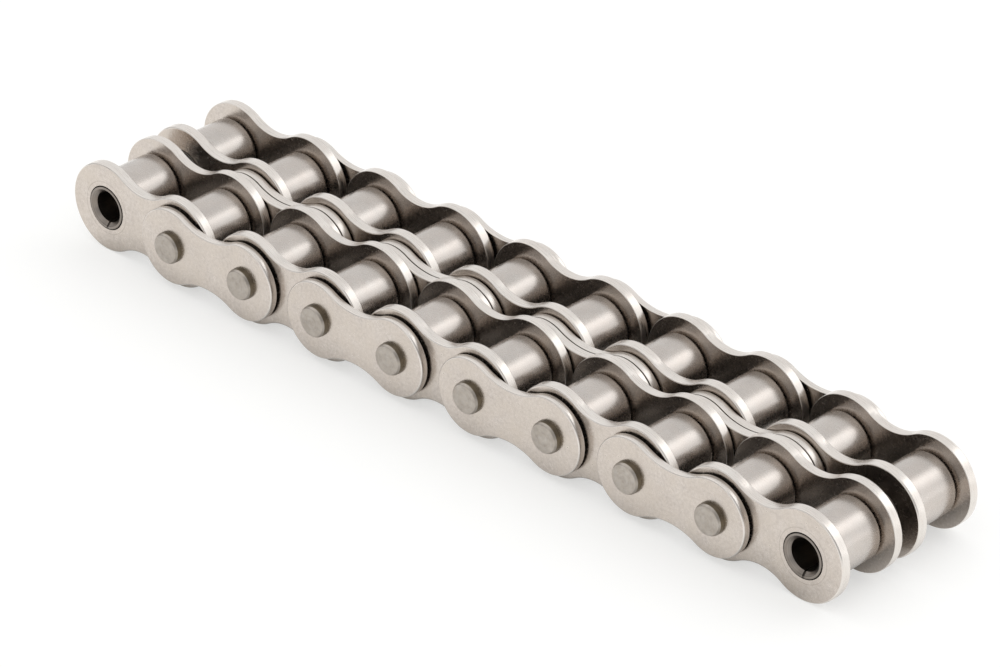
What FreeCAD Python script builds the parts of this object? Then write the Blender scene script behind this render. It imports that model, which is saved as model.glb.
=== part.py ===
import FreeCAD, Part
import math
import os

# Duplex roller chain, 15.875 mm pitch, nine links lying straight on a table.
# X runs along the chain, Y across both strands, +Z up. The origin is under the
# chain's middle, on the table. Axle 0 is the left end, and link n joins axle n to n + 1.

# Length of the chain
pitch = 15.875
link_count = 9

# Pins
pin_diameter = 5.08
pin_clearance = 0.025
pin_proud = 1.05
pin_bevel = 0.25
pin_bevel_length = 0.45

# Bushes, which the pins turn in
bush_wall = 0.95
bush_mouth = 0.45
bush_proud = 0.115

# Rollers, which turn on the bushes. Their walls bring them to 10.16 mm across
roller_wall = 1.515
roller_clearance = 0.05
roller_end_play = 0.10
roller_bevel = 0.60

# Inner link plates, pressed onto the bushes. The gap that neighbouring links keep
# between their round lobes leaves these plates 14.73 mm high
inner_width = 9.65
inner_plate_thickness = 1.70
inner_lobe_gap = 1.145
inner_waist_cut = 2.25

# Outer and centre link plates, carried on the pins and 12.6 mm high. An inner link has more
# room beside the outer plates than beside the centre plates
outer_play = 0.275
centre_play = 0.065
outer_plate_thickness = 1.25
centre_plate_thickness = 1.50
centre_plate_gap = 0.18
centre_plate_clearance = 0.02
outer_lobe_gap = 3.275
outer_waist_cut = 1.90

# Blanking rolls the rim of each plate's outward face over, and tumbling only breaks the other
edge_roll = 0.30
edge_break = 0.10

# Worked out from the sizes above
inner_plate_height = pitch - inner_lobe_gap
outer_plate_height = pitch - outer_lobe_gap
bush_bore_radius = pin_diameter / 2 + pin_clearance
bush_radius = bush_bore_radius + bush_wall
bush_length = inner_width + 2 * (inner_plate_thickness + bush_proud)
roller_bore_radius = bush_radius + roller_clearance
roller_radius = roller_bore_radius + roller_wall
roller_length = inner_width - 2 * roller_end_play
strand_pitch = bush_length + 2 * (centre_play + centre_plate_thickness) + centre_plate_gap
pin_length = strand_pitch + bush_length + 2 * (outer_play + outer_plate_thickness + pin_proud)
axle_height = max(inner_plate_height, outer_plate_height) / 2

# The front strand lies on the -Y side and the back strand on the +Y side
strands = {"front": -strand_pitch / 2, "back": strand_pitch / 2}


def axle_x(axle):
    """Where an axle stands along the chain."""
    return (axle - link_count / 2) * pitch


def round_bar(radius, length, bevel=0.0, bevel_length=0.0):
    """A bar along Y about its own middle, with both end edges bevelled."""
    half = length / 2
    corners = [(0, -half), (radius - bevel, -half), (radius, -half + bevel_length)]
    corners += [(radius, half - bevel_length), (radius - bevel, half), (0, half)]
    points = []
    for x, y in corners:
        point = FreeCAD.Vector(x, y, 0)
        if not points or point.distanceToPoint(points[-1]) > 1e-9:
            points.append(point)
    profile = Part.Face(Part.makePolygon(points + points[:1]))
    return profile.revolve(FreeCAD.Vector(0, 0, 0), FreeCAD.Vector(0, 1, 0), 360)


def bore(radius, length, mouth=0.0):
    """The space of a through hole along Y, opened by a cone at both mouths."""
    hole = round_bar(radius, length + 2)
    if mouth:
        for side in (-1, 1):
            cone = Part.makeCone(
                radius,
                radius + 2 * mouth,
                2 * mouth,
                FreeCAD.Vector(0, side * (length / 2 - mouth), 0),
                FreeCAD.Vector(0, side, 0),
            )
            hole = hole.fuse(cone)
    return hole


def placed(solid, x, y, facing=-1):
    """A copy of a solid moved from the origin to its place, turned round if it faces +Y."""
    copy = solid.copy()
    if facing > 0:
        copy.rotate(FreeCAD.Vector(0, 0, 0), FreeCAD.Vector(0, 0, 1), 180)
    copy.translate(FreeCAD.Vector(x, y, axle_height))
    return copy


def plate_outline(height, waist_cut):
    """Two round lobes one pitch apart, joined by concave arcs tangent to both."""
    lobe = height / 2
    waist = lobe - waist_cut
    half_pitch = pitch / 2
    hollow = (half_pitch**2 + waist**2 - lobe**2) / (2 * (lobe - waist))
    share = hollow / (lobe + hollow)
    tangent_x = half_pitch * share
    tangent_z = (waist + hollow) * (1 - share)

    def arc(*corners):
        points = [FreeCAD.Vector(x, 0, z) for x, z in corners]
        return Part.Arc(*points).toShape()

    right = arc((tangent_x, tangent_z), (half_pitch + lobe, 0), (tangent_x, -tangent_z))
    under = arc((tangent_x, -tangent_z), (0, -waist), (-tangent_x, -tangent_z))
    left = arc((-tangent_x, -tangent_z), (-half_pitch - lobe, 0), (-tangent_x, tangent_z))
    over = arc((-tangent_x, tangent_z), (0, waist), (tangent_x, tangent_z))
    return Part.Wire([right, under, left, over])


def link_plate(thickness, height, waist_cut, hole_radius):
    """A link plate about its own middle with a hole at each end, its outward face to -Y."""
    blank = Part.Face(plate_outline(height, waist_cut))
    blank.translate(FreeCAD.Vector(0, -thickness / 2, 0))
    plate = blank.extrude(FreeCAD.Vector(0, thickness, 0))
    for side, width in ((-1, edge_roll), (1, edge_break)):
        face_y = side * thickness / 2
        rim = [edge for edge in plate.Edges if abs(edge.CenterOfMass.y - face_y) < 1e-6]
        plate = plate.makeChamfer(width, rim)
    for side in (-1, 1):
        hole = bore(hole_radius, thickness)
        hole.translate(FreeCAD.Vector(side * pitch / 2, 0, 0))
        plate = plate.cut(hole)
    return plate


def inner_plate():
    return link_plate(inner_plate_thickness, inner_plate_height, inner_waist_cut, bush_radius)


def outer_plate():
    return link_plate(outer_plate_thickness, outer_plate_height, outer_waist_cut, pin_diameter / 2)


def centre_plate():
    hole_radius = pin_diameter / 2 + centre_plate_clearance
    return link_plate(centre_plate_thickness, outer_plate_height, outer_waist_cut, hole_radius)


def bush():
    return round_bar(bush_radius, bush_length).cut(bore(bush_bore_radius, bush_length, bush_mouth))


def roller():
    sleeve = round_bar(roller_radius, roller_length, roller_bevel, roller_bevel)
    return sleeve.cut(bore(roller_bore_radius, roller_length))


def pin():
    return round_bar(pin_diameter / 2, pin_length, pin_bevel, pin_bevel_length)


def save(node, solids):
    """One STEP file for one node, after a look that each of its solids is sound."""
    for solid in solids:
        if not solid.isValid() or len(solid.Solids) != 1:
            raise ValueError(node + " has a piece that is not one sound solid")
    shape = solids[0] if len(solids) == 1 else Part.makeCompound(solids)
    shape.exportStep(os.path.join("parts", node + ".step"))


def build_inner_link(link):
    """Four plates and four bushes, two of each in either strand."""
    middle = axle_x(link + 0.5)
    plate_offset = (inner_width + inner_plate_thickness) / 2
    for strand, y in strands.items():
        name = "link%d_%s_" % (link + 1, strand)
        plates = [
            placed(inner_plate(), middle, y + side * plate_offset, side)
            for side in (-1, 1)
        ]
        bushes = [placed(bush(), axle_x(axle), y) for axle in (link, link + 1)]
        save(name + "plates", plates)
        save(name + "bushes", bushes)


def build_outer_link(link):
    """Two pins right across both strands, a plate at each end and a pair between the strands."""
    middle = axle_x(link + 0.5)
    name = "link%d_" % (link + 1)
    plate_offset = (bush_length + outer_plate_thickness) / 2 + outer_play
    centre_offset = (centre_plate_gap + centre_plate_thickness) / 2
    save(name + "front_plate", [placed(outer_plate(), middle, strands["front"] - plate_offset)])
    save(name + "back_plate", [placed(outer_plate(), middle, strands["back"] + plate_offset, 1)])
    save(
        name + "centre_plates",
        [placed(centre_plate(), middle, side * centre_offset, side) for side in (-1, 1)],
    )
    save(name + "pins", [placed(pin(), axle_x(axle), 0) for axle in (link, link + 1)])


def build_rollers(axle):
    """One roller in each strand, free to turn on its bush."""
    for strand, y in strands.items():
        save("roller%02d_%s" % (axle + 1, strand), [placed(roller(), axle_x(axle), y)])


os.makedirs("parts", exist_ok=True)
for link in range(link_count):
    if link % 2 == 0:
        build_inner_link(link)
    else:
        build_outer_link(link)
for axle in range(link_count + 1):
    build_rollers(axle)
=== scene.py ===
import math

import bmesh
import bpy
from mathutils import Matrix, Vector


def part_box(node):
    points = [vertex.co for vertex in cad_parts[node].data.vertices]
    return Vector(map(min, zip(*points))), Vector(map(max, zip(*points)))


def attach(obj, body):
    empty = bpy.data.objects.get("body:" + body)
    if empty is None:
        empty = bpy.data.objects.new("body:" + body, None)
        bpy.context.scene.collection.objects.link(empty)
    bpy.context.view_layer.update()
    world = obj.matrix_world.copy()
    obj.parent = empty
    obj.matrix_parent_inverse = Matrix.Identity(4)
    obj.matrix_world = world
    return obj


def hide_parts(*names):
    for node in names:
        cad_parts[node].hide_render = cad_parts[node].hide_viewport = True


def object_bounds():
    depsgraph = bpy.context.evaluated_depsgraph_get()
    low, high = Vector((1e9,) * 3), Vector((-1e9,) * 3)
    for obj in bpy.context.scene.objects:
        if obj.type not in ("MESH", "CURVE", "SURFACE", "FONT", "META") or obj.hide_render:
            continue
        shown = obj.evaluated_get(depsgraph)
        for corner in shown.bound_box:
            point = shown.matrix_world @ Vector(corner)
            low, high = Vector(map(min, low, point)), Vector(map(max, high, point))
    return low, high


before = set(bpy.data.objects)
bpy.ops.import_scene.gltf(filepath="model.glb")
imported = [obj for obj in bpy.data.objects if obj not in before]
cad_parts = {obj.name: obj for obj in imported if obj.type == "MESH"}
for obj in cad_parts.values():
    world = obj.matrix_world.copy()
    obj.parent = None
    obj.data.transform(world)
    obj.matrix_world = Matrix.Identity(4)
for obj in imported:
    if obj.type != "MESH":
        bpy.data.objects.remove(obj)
cad_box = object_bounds()

# Everything below is modelled in millimetres and made metres when a piece is finished
MM = 0.001
TURN = 2 * math.pi
# Points nearer to each other than this are one point
SAME_POINT = 1e-4


def middle(node):
    """The middle of a node in millimetres."""
    low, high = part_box(node)
    return (low + high) / 2 / MM


def extent(node):
    """The size of a node's box in millimetres."""
    low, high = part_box(node)
    return (high - low) / MM


# Sizes that the frame gives
AXLES = 10
LINKS = AXLES - 1
STRANDS = ("front", "back")
axle_x = [middle("roller%02d_front" % (axle + 1)).x for axle in range(AXLES)]
strand_y = {strand: middle("roller01_" + strand).y for strand in STRANDS}
AXLE_Z = middle("roller01_front").z
PITCH = axle_x[1] - axle_x[0]
ROLLER = extent("roller01_front")
INNER_SPAN = extent("link1_front_plates")
OUTER_PLATE = extent("link2_front_plate")
CENTRE_SPAN = extent("link2_centre_plates")
BUSH_SPAN = extent("link1_front_bushes")
PIN_SPAN = extent("link2_pins")
INNER_HEIGHT = INNER_SPAN.z
OUTER_HEIGHT = OUTER_PLATE.z
BUSH_LENGTH = BUSH_SPAN.y
BUSH_RADIUS = BUSH_SPAN.z / 2
PIN_LENGTH = PIN_SPAN.y
PIN_RADIUS = PIN_SPAN.z / 2

# Sizes that the boxes can't give
INNER_THICKNESS = 1.70
CENTRE_GAP = 0.18
CENTRE_THICKNESS = (CENTRE_SPAN.y - CENTRE_GAP) / 2
INNER_WAIST_CUT = 2.25
OUTER_WAIST_CUT = 1.90
BUSH_BORE = 2.565
BUSH_MOUTH = 0.60
BUSH_LIP = 0.08
BUSH_MOUTH_ROUND = 0.04
BUSH_SEAM = 0.10
BUSH_SEAM_ANGLE = math.radians(87)
ROLLER_CLEARANCE = 0.05
ROLLER_BORE = BUSH_RADIUS + ROLLER_CLEARANCE
ROLLER_EDGE = 0.80
ROLLER_BORE_EDGE = 0.15
PIN_BEVEL = 0.25
PIN_BEVEL_LENGTH = 0.45
PIN_EDGE = 0.10
# Blanking rolls the rim of a plate's outward face over, and tumbling only breaks the other
PLATE_ROLL = 0.30
PLATE_BREAK = 0.10
# The broken edge of a hole shows as a dark ring round a bush, and hardly at all round a pin
BUSH_HOLE_EDGE = 0.18
PIN_HOLE_EDGE = 0.04
# The press that seats a bush leaves a faint ring on the plate round it
PRESS_MARK_RADIUS = 4.40
PRESS_MARK_WIDTH = 0.14
PRESS_MARK_SHADE = 0.30
PRESS_MARK_TONE = "#8C847B"

# How finely the round shapes are divided
LOBE_STEPS = 28
WAIST_STEPS = 12
HOLE_STEPS = 56
BUSH_STEPS = 64
ROLLER_STEPS = 72
PIN_STEPS = 56
ROLL_SEGMENTS = 5
BREAK_SEGMENTS = 2
CORNER_SEGMENTS = 4

# The share of a face's normal along Y above which it is flat, and below which it is a side
FLAT_LEAN = 0.97
SIDE_LEAN = 0.3

# The photograph's camera: where it stands from the chain's middle, what it aims at, and its lens
CAMERA_AZIMUTH = math.radians(43.20)
CAMERA_ELEVATION = math.radians(30.34)
CAMERA_ROLL = math.radians(0.73)
CAMERA_DISTANCE = 865.0
FOCAL_PIXELS = 5799.1
FRAME_WIDTH = 1000
AIM_RIGHT = 6.77
AIM_UP = -3.73
SENSOR = 36.0
NEAREST = 0.01
FARTHEST = 20


def place_camera():
    azimuth, elevation = CAMERA_AZIMUTH, CAMERA_ELEVATION
    back = Vector((
        math.sin(azimuth) * math.cos(elevation),
        -math.cos(azimuth) * math.cos(elevation),
        math.sin(elevation),
    ))
    right = Vector((math.cos(azimuth), math.sin(azimuth), 0))
    up = back.cross(right)
    middle_of_chain = Vector((0, 0, AXLE_Z))
    place = middle_of_chain + back * CAMERA_DISTANCE
    aim = middle_of_chain - right * (AIM_RIGHT / FOCAL_PIXELS * CAMERA_DISTANCE)
    aim -= up * (AIM_UP / FOCAL_PIXELS * CAMERA_DISTANCE)
    back = (place - aim).normalized()
    right = up.cross(back).normalized()
    up = back.cross(right)
    turn = Matrix.Rotation(CAMERA_ROLL, 3, back)
    axes = Matrix((turn @ right, turn @ up, back)).transposed()
    data = bpy.data.cameras.new("camera")
    data.sensor_width = SENSOR
    data.lens = FOCAL_PIXELS / FRAME_WIDTH * SENSOR
    data.clip_start = NEAREST
    data.clip_end = FARTHEST
    camera = bpy.data.objects.new("camera", data)
    camera.matrix_world = Matrix.Translation(place * MM) @ axes.to_4x4()
    bpy.context.scene.collection.objects.link(camera)
    bpy.context.scene.camera = camera


place_camera()


# Materials

def colour(text, alpha=1.0):
    """An sRGB hex value as the linear colour that shaders take."""
    channels = [int(text[i:i + 2], 16) / 255 for i in (1, 3, 5)]
    linear = [c / 12.92 if c <= 0.04045 else ((c + 0.055) / 1.055) ** 2.4 for c in channels]
    return (*linear, alpha)


def add(tree, kind, settings=None, inputs=None):
    """A node with its settings, and its sockets set to a value or linked from another socket."""
    node = tree.nodes.new(kind)
    for name, value in (settings or {}).items():
        setattr(node, name, value)
    for name, value in (inputs or {}).items():
        if isinstance(value, bpy.types.NodeSocket):
            tree.links.new(value, node.inputs[name])
        else:
            node.inputs[name].default_value = value
    return node


def new_material(name):
    material = bpy.data.materials.new(name)
    material.use_nodes = True
    material.node_tree.nodes.clear()
    return material, material.node_tree


def finish_material(tree, shader):
    add(tree, "ShaderNodeOutputMaterial", None, {"Surface": shader})


def reach_from_axle(tree, place):
    """How far a point is from the nearest axle, in metres."""
    parts = add(tree, "ShaderNodeSeparateXYZ", None, {"Vector": place}).outputs
    start = add(tree, "ShaderNodeMath", {"operation": "SUBTRACT"}, {
        0: parts["X"], 1: axle_x[0] * MM,
    }).outputs["Value"]
    along = add(tree, "ShaderNodeMath", {"operation": "WRAP"}, {
        0: start, 1: PITCH / 2 * MM, 2: -PITCH / 2 * MM,
    }).outputs["Value"]
    up = add(tree, "ShaderNodeMath", {"operation": "SUBTRACT"}, {
        0: parts["Z"], 1: AXLE_Z * MM,
    }).outputs["Value"]
    across = add(tree, "ShaderNodeCombineXYZ", None, {"X": along, "Z": up}).outputs["Vector"]
    return add(tree, "ShaderNodeVectorMath", {"operation": "LENGTH"}, {0: across}).outputs["Value"]


def press_mark(tree, place):
    """1 on the ring that the press leaves round a bush, fading to 0 beside it."""
    reach = reach_from_axle(tree, place)
    return add(tree, "ShaderNodeMath", {"operation": "COMPARE"}, {
        0: reach, 1: PRESS_MARK_RADIUS * MM, 2: PRESS_MARK_WIDTH / 2 * MM,
    }).outputs["Value"]


# Layers of noise in the clouds and in the grain, how much each finer layer adds, and the span
# that the noise hardly leaves
CLOUD_DETAIL = 3
GRAIN_DETAIL = 4
FINER_SHARE = 0.62
NOISE_LOW = 0.3
NOISE_HIGH = 0.7


def blotches(tree, place, size_mm, detail=CLOUD_DETAIL, stretch=(1, 1, 1)):
    """A pattern from 0 to 1 whose blotches are about one size, longer along a stretched axis."""
    spread = tuple(1 / (size_mm * MM * axis) for axis in stretch)
    scaled = add(tree, "ShaderNodeMapping", None, {
        "Vector": place, "Scale": spread,
    }).outputs["Vector"]
    fac = add(tree, "ShaderNodeTexNoise", None, {
        "Vector": scaled, "Scale": 1.0, "Detail": detail, "Roughness": FINER_SHARE,
    }).outputs["Fac"]
    return add(tree, "ShaderNodeMapRange", None, {
        "Value": fac, "From Min": NOISE_LOW, "From Max": NOISE_HIGH, "To Min": 0, "To Max": 1,
    }).outputs["Result"]


# A tint drifts over blotches narrower than the clouds, and never covers more than this share
TINT_SPAN = 0.7
TINT_SHARE = 0.6


def steel(
    name, tones, roughness, clouds_mm, grain_mm, grain_share, depth_mm,
    stretch=(1, 1, 1), in_rings=False, press_marked=False,
):
    """Stainless steel: two tones laid out by clouds and grain, and a tint that drifts over them.

    A turned surface has its grain in rings round the axle. One that was pressed has the
    press's mark.
    """
    material, tree = new_material(name)
    place = add(tree, "ShaderNodeTexCoord").outputs["Object"]
    low, high, tint = (colour(tone) for tone in tones)
    clouds = blotches(tree, place, clouds_mm)
    grain_place = place
    if in_rings:
        grain_place = add(tree, "ShaderNodeCombineXYZ", None, {
            "X": reach_from_axle(tree, place),
        }).outputs["Vector"]
    grain = blotches(tree, grain_place, grain_mm, detail=GRAIN_DETAIL, stretch=stretch)
    drift = blotches(tree, place, clouds_mm * TINT_SPAN)
    light = add(tree, "ShaderNodeMix", None, {"Factor": grain_share, "A": clouds, "B": grain})
    base = add(tree, "ShaderNodeMix", {"data_type": "RGBA"}, {
        "Factor": light.outputs["Result"], "A": low, "B": high,
    }).outputs["Result"]
    share = add(tree, "ShaderNodeMath", {"operation": "MULTIPLY"}, {
        0: drift, 1: TINT_SHARE,
    }).outputs["Value"]
    tinted = add(tree, "ShaderNodeMix", {"data_type": "RGBA"}, {
        "Factor": share, "A": base, "B": tint,
    }).outputs["Result"]
    if press_marked:
        mark = add(tree, "ShaderNodeMath", {"operation": "MULTIPLY"}, {
            0: press_mark(tree, place), 1: PRESS_MARK_SHADE,
        }).outputs["Value"]
        tinted = add(tree, "ShaderNodeMix", {"data_type": "RGBA"}, {
            "Factor": mark, "A": tinted, "B": colour(PRESS_MARK_TONE),
        }).outputs["Result"]
    dull = add(tree, "ShaderNodeMapRange", None, {
        "Value": grain, "To Min": roughness[0], "To Max": roughness[1],
    }).outputs["Result"]
    bump = add(tree, "ShaderNodeBump", None, {
        "Strength": 1.0, "Distance": depth_mm * MM, "Height": grain,
    }).outputs["Normal"]
    shader = add(tree, "ShaderNodeBsdfPrincipled", None, {
        "Base Color": tinted, "Metallic": 1.0, "Roughness": dull, "Normal": bump,
    })
    finish_material(tree, shader.outputs["BSDF"])
    return material


# Tumbled stainless plate: barrel tumbling leaves an even matt grey, finely mottled, a little warm
PLATE_FINISH = dict(
    tones=("#ADA49D", "#CEC6BF", "#C2B8AD"), roughness=(0.19, 0.29),
    clouds_mm=5.0, grain_mm=0.5, grain_share=0.70, depth_mm=0.005,
)
tumbled = steel("tumbled_stainless_plate", **PLATE_FINISH)
# The same plate round a bush, where the press has left its ring
pressed = steel("pressed_stainless_plate", **PLATE_FINISH, press_marked=True)
# Sheared edge: blanking draws faint lines along the cut, which tumbling rubs to a pale satin
sheared = steel(
    "sheared_stainless_edge", tones=("#C2BCB6", "#DCD8D3", "#D6CEC7"), roughness=(0.24, 0.34),
    clouds_mm=4.0, grain_mm=0.30, grain_share=0.55, depth_mm=0.004, stretch=(12, 1, 12),
)
# Satin stainless roller: centreless ground, then finely speckled by tumbling
satin = steel(
    "ground_stainless_roller", tones=("#AEA8A3", "#C0BBB6", "#BDB4AD"), roughness=(0.24, 0.30),
    clouds_mm=5.0, grain_mm=0.7, grain_share=0.42, depth_mm=0.001,
)
# Turned bush mouth: darker heat-treated strip, countersunk by a tool that leaves fine rings
strip = steel(
    "turned_stainless_strip", tones=("#5C5550", "#A09A94", "#857A70"), roughness=(0.26, 0.38),
    clouds_mm=3.0, grain_mm=0.16, grain_share=0.7, depth_mm=0.004, in_rings=True,
)
# The broken edges of an inner plate's holes, in the fine groove between a bush and its plate,
# are made nearly black
dark_hole_edge = steel(
    "dark_stainless_hole_edge", tones=("#2A2724", "#3B3733", "#332E29"), roughness=(0.25, 0.35),
    clouds_mm=3.0, grain_mm=0.4, grain_share=0.5, depth_mm=0.001,
)
# Riveted stainless pin end: the spinning rivet tool leaves it dull, with faint rings
riveted = steel(
    "riveted_stainless_end", tones=("#827A73", "#BBB5AE", "#A89F94"), roughness=(0.28, 0.46),
    clouds_mm=0.9, grain_mm=0.45, grain_share=0.5, depth_mm=0.014, in_rings=True,
)
# Ground pin side: its dark brown-grey is painted shade, standing in for the shaded side wall
# between a riveted end and its plate
painted_shade_pin_side = steel(
    "painted_shade_stainless_pin", tones=("#6E675B", "#857D70", "#796F5D"), roughness=(0.28, 0.36),
    clouds_mm=3.0, grain_mm=0.4, grain_share=0.4, depth_mm=0.002,
)


# Meshes

def mesh_piece(name, bm, body, materials, replaces, pick=None):
    """Turns a bmesh in millimetres into a piece that rides on a body."""
    bmesh.ops.scale(bm, vec=(MM, MM, MM), verts=bm.verts)
    mesh = bpy.data.meshes.new(name)
    for face in bm.faces:
        face.smooth = True
        if pick:
            face.material_index = pick(face)
    bm.to_mesh(mesh)
    bm.free()
    for material in materials:
        mesh.materials.append(material)
    piece = bpy.data.objects.new(name, mesh)
    bpy.context.scene.collection.objects.link(piece)
    weighted = piece.modifiers.new("even_faces", "WEIGHTED_NORMAL")
    weighted.mode = "FACE_AREA"
    weighted.keep_sharp = True
    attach(piece, body)
    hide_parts(*replaces)


def move(bm, x, y):
    """Moves a mesh from the origin to its place on the axles' level."""
    bmesh.ops.translate(bm, vec=(x, y, AXLE_Z), verts=bm.verts)


def on_plane(edge, y):
    return all(abs(vert.co.y - y) < SAME_POINT for vert in edge.verts)


def add_outline(bm, height, waist_cut, y):
    """A quarter of the plate's outline by two spins, mirrored into the whole."""
    lobe = height / 2
    waist = lobe - waist_cut
    half = PITCH / 2
    hollow = (half**2 + waist**2 - lobe**2) / (2 * (lobe - waist))
    lift = waist + hollow
    tip = bm.verts.new((half + lobe, y, 0))
    lobe_arc = bmesh.ops.spin(
        bm, geom=[tip], cent=(half, y, 0), axis=(0, -1, 0),
        angle=math.pi - math.atan2(lift, half), steps=LOBE_STEPS,
    )
    last = [item for item in lobe_arc["geom_last"] if isinstance(item, bmesh.types.BMVert)]
    bmesh.ops.spin(
        bm, geom=last, cent=(0, y, lift), axis=(0, 1, 0),
        angle=math.atan2(half, lift), steps=WAIST_STEPS,
    )
    for axis in ("X", "Z"):
        bmesh.ops.mirror(bm, geom=bm.verts[:] + bm.edges[:], axis=axis, merge_dist=SAME_POINT)
    bmesh.ops.remove_doubles(bm, verts=bm.verts, dist=SAME_POINT)


def add_hole(bm, x, radius, edge, thickness):
    """The wall of a hole along Y, with a broken edge at both mouths."""
    corners = [
        (radius + edge, -thickness / 2), (radius, -thickness / 2 + edge),
        (radius, thickness / 2 - edge), (radius + edge, thickness / 2),
    ]
    verts = [bm.verts.new((x + reach, y, 0)) for reach, y in corners]
    edges = [bm.edges.new(pair) for pair in zip(verts, verts[1:])]
    bmesh.ops.spin(
        bm, geom=verts + edges, cent=(x, 0, 0), axis=(0, 1, 0),
        angle=TURN, steps=HOLE_STEPS, use_merge=True,
    )


def plate_mesh(height, waist_cut, thickness, hole_radius, hole_edge, facing):
    """A link plate about its own middle with two holes. Its rolled rim is on the side it faces."""
    bm = bmesh.new()
    add_outline(bm, height, waist_cut, -thickness / 2)
    blank = bmesh.ops.contextual_create(bm, geom=bm.edges[:])["faces"]
    raised = bmesh.ops.extrude_face_region(bm, geom=blank)["geom"]
    top = [item for item in raised if isinstance(item, bmesh.types.BMVert)]
    bmesh.ops.translate(bm, vec=(0, thickness, 0), verts=top)
    rims = ((facing, PLATE_ROLL, ROLL_SEGMENTS), (-facing, PLATE_BREAK, BREAK_SEGMENTS))
    for side, width, segments in rims:
        rim = [edge for edge in bm.edges if on_plane(edge, side * thickness / 2)]
        bmesh.ops.bevel(
            bm, geom=rim, offset=width, segments=segments, profile=0.5, affect="EDGES",
            material=-1,
        )
    # Both flat faces give way to new ones that leave the holes open
    flats = [face for face in bm.faces if len(face.verts) > 4]
    bmesh.ops.delete(bm, geom=flats, context="FACES_ONLY")
    for side in (-1, 1):
        add_hole(bm, side * PITCH / 2, hole_radius, hole_edge, thickness)
    for y in (-thickness / 2, thickness / 2):
        loops = [edge for edge in bm.edges if on_plane(edge, y)]
        bmesh.ops.triangle_fill(
            bm, use_beauty=True, use_dissolve=False, edges=loops, normal=(0, y, 0),
        )
    bmesh.ops.remove_doubles(bm, verts=bm.verts, dist=SAME_POINT)
    bmesh.ops.recalc_face_normals(bm, faces=bm.faces)
    return bm


def turned(profile, rounds, steps, angle=TURN):
    """A ring turned about Y from a closed profile, whose corners are rounded first."""
    bm = bmesh.new()
    verts = [bm.verts.new((reach, y, 0)) for reach, y in profile]
    face = bm.faces.new(verts)
    for vert, size in zip(list(verts), rounds):
        if size:
            bmesh.ops.bevel(
                bm, geom=[vert], offset=size, segments=CORNER_SEGMENTS, profile=0.5,
                affect="VERTICES", material=-1,
            )
    whole = angle == TURN
    if whole:
        bmesh.ops.delete(bm, geom=bm.faces[:], context="FACES_ONLY")
    bmesh.ops.spin(
        bm, geom=bm.verts[:] + bm.edges[:] + bm.faces[:], cent=(0, 0, 0), axis=(0, 1, 0),
        angle=angle, steps=steps, use_merge=whole,
    )
    bmesh.ops.remove_doubles(bm, verts=bm.verts, dist=SAME_POINT)
    bmesh.ops.recalc_face_normals(bm, faces=bm.faces)
    return bm


def joined(parts):
    """One bmesh of several, each moved to its own place first."""
    whole = bmesh.new()
    for bm, x, y in parts:
        move(bm, x, y)
        mesh = bpy.data.meshes.new("part")
        bm.to_mesh(mesh)
        bm.free()
        whole.from_mesh(mesh)
        bpy.data.meshes.remove(mesh)
    return whole


def edge_or_face(face):
    """1 for a plate's cut edge and its rounded rims, 0 for its flat faces."""
    return 0 if abs(face.normal.y) > FLAT_LEAN else 1


def groove_edge_or_face(face):
    """2 for the broken edges of an inner plate's holes, 1 for its cut edge, 0 for its faces."""
    place = face.calc_center_median() / MM
    reach = min(math.hypot(place.x - x, place.z - AXLE_Z) for x in axle_x)
    in_hole = reach < BUSH_RADIUS + BUSH_HOLE_EDGE
    return 2 if in_hole and abs(face.normal.y) < FLAT_LEAN else edge_or_face(face)


def side_or_end(face):
    """1 for a pin's side, 0 for its riveted ends and their bevels."""
    return 1 if abs(face.normal.y) < SIDE_LEAN else 0


def inner_plates(link, strand):
    body = "link%d" % (link + 1)
    node = "%s_%s_plates" % (body, strand)
    x = (axle_x[link] + axle_x[link + 1]) / 2
    offset = (INNER_SPAN.y - INNER_THICKNESS) / 2
    parts = [
        (
            plate_mesh(
                INNER_HEIGHT, INNER_WAIST_CUT, INNER_THICKNESS,
                BUSH_RADIUS, BUSH_HOLE_EDGE, side,
            ),
            x, strand_y[strand] + side * offset,
        )
        for side in (-1, 1)
    ]
    name = "inner_plates_%d_%s" % (link + 1, strand)
    # The broken edges of the holes round the bushes take the near-black material
    mesh_piece(
        name, joined(parts), body, (pressed, sheared, dark_hole_edge), (node,),
        groove_edge_or_face,
    )


def bush_mesh():
    """A tube curled from strip, open by a hairline seam and countersunk at both mouths."""
    half = BUSH_LENGTH / 2
    mouth = BUSH_BORE + BUSH_MOUTH
    profile = [
        (BUSH_BORE, -half + BUSH_MOUTH), (mouth, -half), (BUSH_RADIUS, -half),
        (BUSH_RADIUS, half), (mouth, half), (BUSH_BORE, half - BUSH_MOUTH),
    ]
    rounds = (BUSH_MOUTH_ROUND, BUSH_MOUTH_ROUND, BUSH_LIP)
    rounds += rounds[::-1]
    seam = BUSH_SEAM / BUSH_RADIUS
    bm = turned(profile, rounds, BUSH_STEPS, TURN - seam)
    bmesh.ops.rotate(
        bm, cent=(0, 0, 0), matrix=Matrix.Rotation(BUSH_SEAM_ANGLE, 3, "Y"), verts=bm.verts,
    )
    return bm


def bushes(link, strand):
    body = "link%d" % (link + 1)
    node = "%s_%s_bushes" % (body, strand)
    parts = [(bush_mesh(), axle_x[axle], strand_y[strand]) for axle in (link, link + 1)]
    name = "bushes_%d_%s" % (link + 1, strand)
    mesh_piece(name, joined(parts), body, (strip,), (node,))


def rollers(axle, strand):
    node = "roller%02d_%s" % (axle + 1, strand)
    half = ROLLER.y / 2
    radius = ROLLER.x / 2
    profile = [(ROLLER_BORE, -half), (radius, -half), (radius, half), (ROLLER_BORE, half)]
    rounds = (ROLLER_BORE_EDGE, ROLLER_EDGE, ROLLER_EDGE, ROLLER_BORE_EDGE)
    bm = turned(profile, rounds, ROLLER_STEPS)
    move(bm, axle_x[axle], strand_y[strand])
    name = "turned_roller_%02d_%s" % (axle + 1, strand)
    mesh_piece(name, bm, node, (satin,), (node,))


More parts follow.
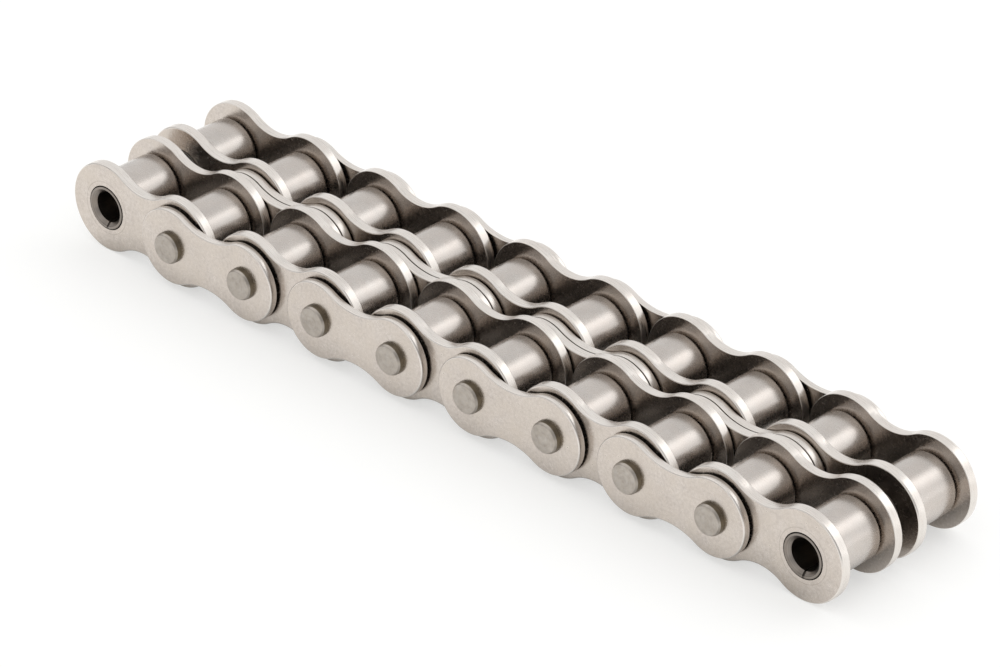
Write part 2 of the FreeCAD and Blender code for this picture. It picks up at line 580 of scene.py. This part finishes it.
def outer_plates(link):
    body = "link%d" % (link + 1)
    x = (axle_x[link] + axle_x[link + 1]) / 2
    for strand, facing in zip(STRANDS, (-1, 1)):
        node = "%s_%s_plate" % (body, strand)
        bm = plate_mesh(
            OUTER_HEIGHT, OUTER_WAIST_CUT, OUTER_PLATE.y, PIN_RADIUS, PIN_HOLE_EDGE, facing,
        )
        move(bm, x, middle(node).y)
        name = "outer_plate_%d_%s" % (link + 1, strand)
        mesh_piece(name, bm, body, (tumbled, sheared), (node,), edge_or_face)
    offset = (CENTRE_SPAN.y - CENTRE_THICKNESS) / 2
    parts = [
        (
            plate_mesh(
                OUTER_HEIGHT, OUTER_WAIST_CUT, CENTRE_THICKNESS,
                PIN_RADIUS, PIN_HOLE_EDGE, side,
            ),
            x, side * offset,
        )
        for side in (-1, 1)
    ]
    node = body + "_centre_plates"
    name = "centre_plates_%d" % (link + 1)
    mesh_piece(
        name, joined(parts), body, (tumbled, sheared), (node,), edge_or_face,
    )


def pin_mesh():
    """A bar whose ends are swaged to a long bevel when it is riveted."""
    half = PIN_LENGTH / 2
    corners = [(PIN_RADIUS - PIN_BEVEL, half), (PIN_RADIUS, half - PIN_BEVEL_LENGTH)]
    profile = [(0, -half)] + [(reach, -y) for reach, y in corners] + corners[::-1] + [(0, half)]
    return turned(profile, (0, PIN_EDGE, PIN_EDGE, PIN_EDGE, PIN_EDGE, 0), PIN_STEPS)


def pins(link):
    body = "link%d" % (link + 1)
    parts = [(pin_mesh(), axle_x[axle], 0) for axle in (link, link + 1)]
    name = "pins_%d" % (link + 1)
    node = body + "_pins"
    # A pin's side takes the painted-shade material
    mesh_piece(name, joined(parts), body, (riveted, painted_shade_pin_side), (node,), side_or_end)


for link in range(LINKS):
    if link % 2 == 0:
        for strand in STRANDS:
            inner_plates(link, strand)
            bushes(link, strand)
    else:
        outer_plates(link)
        pins(link)
for axle in range(AXLES):
    for strand in STRANDS:
        rollers(axle, strand)


# Floor, lights and surroundings. To the camera the room is white. To the chain it is dark, with
# a faint glow all round at the horizon, a broad panel overhead and two lower ones in front, and
# a softbox stands behind the chain on the right. A panel is given by its direction, the cosines
# at which it starts and is full, and its strength. The table shows brighter than the light that
# falls on it makes it, and metal sees that too, but not in a painted shade under the chain. The
# painted shade takes that glow away fully in a fixed box a little smaller than the chain's at
# rest, and fades out beyond it
ROOM_LEVEL = 0.09
HORIZON_LEVEL = 0.29
HORIZON_TOP = 0.40
PANELS = (
    ((-0.35, 0.45, 0.82), 0.35, 0.80, 1.00),
    ((-0.45, -0.80, 0.35), 0.35, 0.85, 0.52),
    ((0.50, -0.65, 0.57), 0.55, 0.90, 0.55),
)
SOFTBOX_DIRECTION = (0.57, 0.65, 0.36)
SOFTBOX_DISTANCE = 1.2
SOFTBOX_SIZE = (1.3, 1.2)
SOFTBOX_RADIANCE = 1.25
TABLE_GLOW = 0.55
TABLE_SHINE = 0.80
TABLE_REACH = 3.0
TABLE_TONE = "#B7B7B6"
TABLE_GLOW_TONE = "#FFFFFE"
ROOM_TONE = "#FFFFFF"
# Painted shade on the table as metal sees it: how far its box lies inside the chain's, and how far
# beyond it the shade fades
PAINTED_SHADE_INSET = (12.0, 8.0, 0.0)
PAINTED_SHADE_WIDTH = 15.0


def build_floor():
    bm = bmesh.new()
    bmesh.ops.create_grid(bm, x_segments=1, y_segments=1, size=TABLE_REACH)
    mesh = bpy.data.meshes.new("floor")
    bm.to_mesh(mesh)
    bm.free()
    floor = bpy.data.objects.new("floor", mesh)
    bpy.context.scene.collection.objects.link(floor)
    material, tree = new_material("white_table")
    rays = add(tree, "ShaderNodeLightPath").outputs
    place = add(tree, "ShaderNodeTexCoord").outputs["Object"]
    folded = add(tree, "ShaderNodeVectorMath", {"operation": "ABSOLUTE"}, {
        0: place,
    }).outputs["Vector"]
    # Painted shade: the glow that metal sees on the table is taken away in a fixed box under the
    # chain at rest, and comes back over a short way beyond it
    painted_shade_half = (cad_box[1] - cad_box[0]) / 2 - Vector(PAINTED_SHADE_INSET) * MM
    beyond = add(tree, "ShaderNodeVectorMath", {"operation": "SUBTRACT"}, {
        0: folded, 1: tuple(painted_shade_half),
    }).outputs["Vector"]
    outside = add(tree, "ShaderNodeVectorMath", {"operation": "MAXIMUM"}, {
        0: beyond, 1: (0, 0, 0),
    }).outputs["Vector"]
    away = add(tree, "ShaderNodeVectorMath", {"operation": "LENGTH"}, {
        0: outside,
    }).outputs["Value"]
    shine_past_painted_shade = add(tree, "ShaderNodeMapRange", {"interpolation_type": "SMOOTHSTEP"}, {
        "Value": away, "From Min": 0, "From Max": PAINTED_SHADE_WIDTH * MM,
        "To Min": 0, "To Max": TABLE_SHINE,
    }).outputs["Result"]
    shine = add(tree, "ShaderNodeMath", {"operation": "MULTIPLY"}, {
        0: rays["Is Glossy Ray"], 1: shine_past_painted_shade,
    }).outputs["Value"]
    glow = add(tree, "ShaderNodeMath", {"operation": "MULTIPLY_ADD"}, {
        0: rays["Is Camera Ray"], 1: TABLE_GLOW, 2: shine,
    }).outputs["Value"]
    light = add(tree, "ShaderNodeEmission", None, {
        "Color": colour(TABLE_GLOW_TONE), "Strength": glow,
    }).outputs["Emission"]
    paper = add(tree, "ShaderNodeBsdfDiffuse", None, {"Color": colour(TABLE_TONE)}).outputs["BSDF"]
    table = add(tree, "ShaderNodeAddShader", None, {0: paper, 1: light}).outputs["Shader"]
    finish_material(tree, table)
    mesh.materials.append(material)


def soft_light(name, direction, distance, size, radiance):
    """A softbox that faces the chain, as bright to the eye as its radiance."""
    data = bpy.data.lights.new(name, "AREA")
    data.shape = "RECTANGLE"
    data.size, data.size_y = size
    data.energy = radiance * math.pi * size[0] * size[1]
    light = bpy.data.objects.new(name, data)
    away = Vector(direction).normalized()
    light.location = away * distance
    light.rotation_euler = away.to_track_quat("Z", "Y").to_euler()
    bpy.context.scene.collection.objects.link(light)


def build_world():
    world = bpy.data.worlds.new("studio")
    bpy.context.scene.world = world
    world.use_nodes = True
    tree = world.node_tree
    tree.nodes.clear()
    rays = add(tree, "ShaderNodeLightPath").outputs
    seen = add(tree, "ShaderNodeMath", {"operation": "MAXIMUM"}, {
        0: rays["Is Camera Ray"], 1: rays["Is Transmission Ray"],
    }).outputs["Value"]
    seen_way = add(tree, "ShaderNodeTexCoord").outputs["Generated"]
    height = add(tree, "ShaderNodeSeparateXYZ", None, {"Vector": seen_way}).outputs["Z"]
    horizon = add(tree, "ShaderNodeMapRange", {"interpolation_type": "SMOOTHSTEP"}, {
        "Value": height, "From Min": 0, "From Max": HORIZON_TOP,
        "To Min": HORIZON_LEVEL, "To Max": 0,
    }).outputs["Result"]
    level = add(tree, "ShaderNodeMath", {"operation": "ADD"}, {
        0: horizon, 1: ROOM_LEVEL,
    }).outputs["Value"]
    for direction, start, full, strength in PANELS:
        towards = add(tree, "ShaderNodeVectorMath", {"operation": "DOT_PRODUCT"}, {
            0: seen_way, 1: tuple(Vector(direction).normalized()),
        }).outputs["Value"]
        panel = add(tree, "ShaderNodeMapRange", {"interpolation_type": "SMOOTHSTEP"}, {
            "Value": towards, "From Min": start, "From Max": full, "To Min": 0, "To Max": strength,
        }).outputs["Result"]
        level = add(tree, "ShaderNodeMath", {"operation": "ADD"}, {
            0: panel, 1: level,
        }).outputs["Value"]
    room = add(tree, "ShaderNodeBackground", None, {"Color": colour(ROOM_TONE), "Strength": level})
    white = add(tree, "ShaderNodeBackground", None, {"Color": colour(ROOM_TONE), "Strength": 1.0})
    mix = add(tree, "ShaderNodeMixShader", None, {
        0: seen, 1: room.outputs["Background"], 2: white.outputs["Background"],
    })
    add(tree, "ShaderNodeOutputWorld", None, {"Surface": mix.outputs["Shader"]})


build_floor()
build_world()
soft_light("softbox", SOFTBOX_DIRECTION, SOFTBOX_DISTANCE, SOFTBOX_SIZE, SOFTBOX_RADIANCE)
bpy.context.scene.view_settings.view_transform = "Standard"
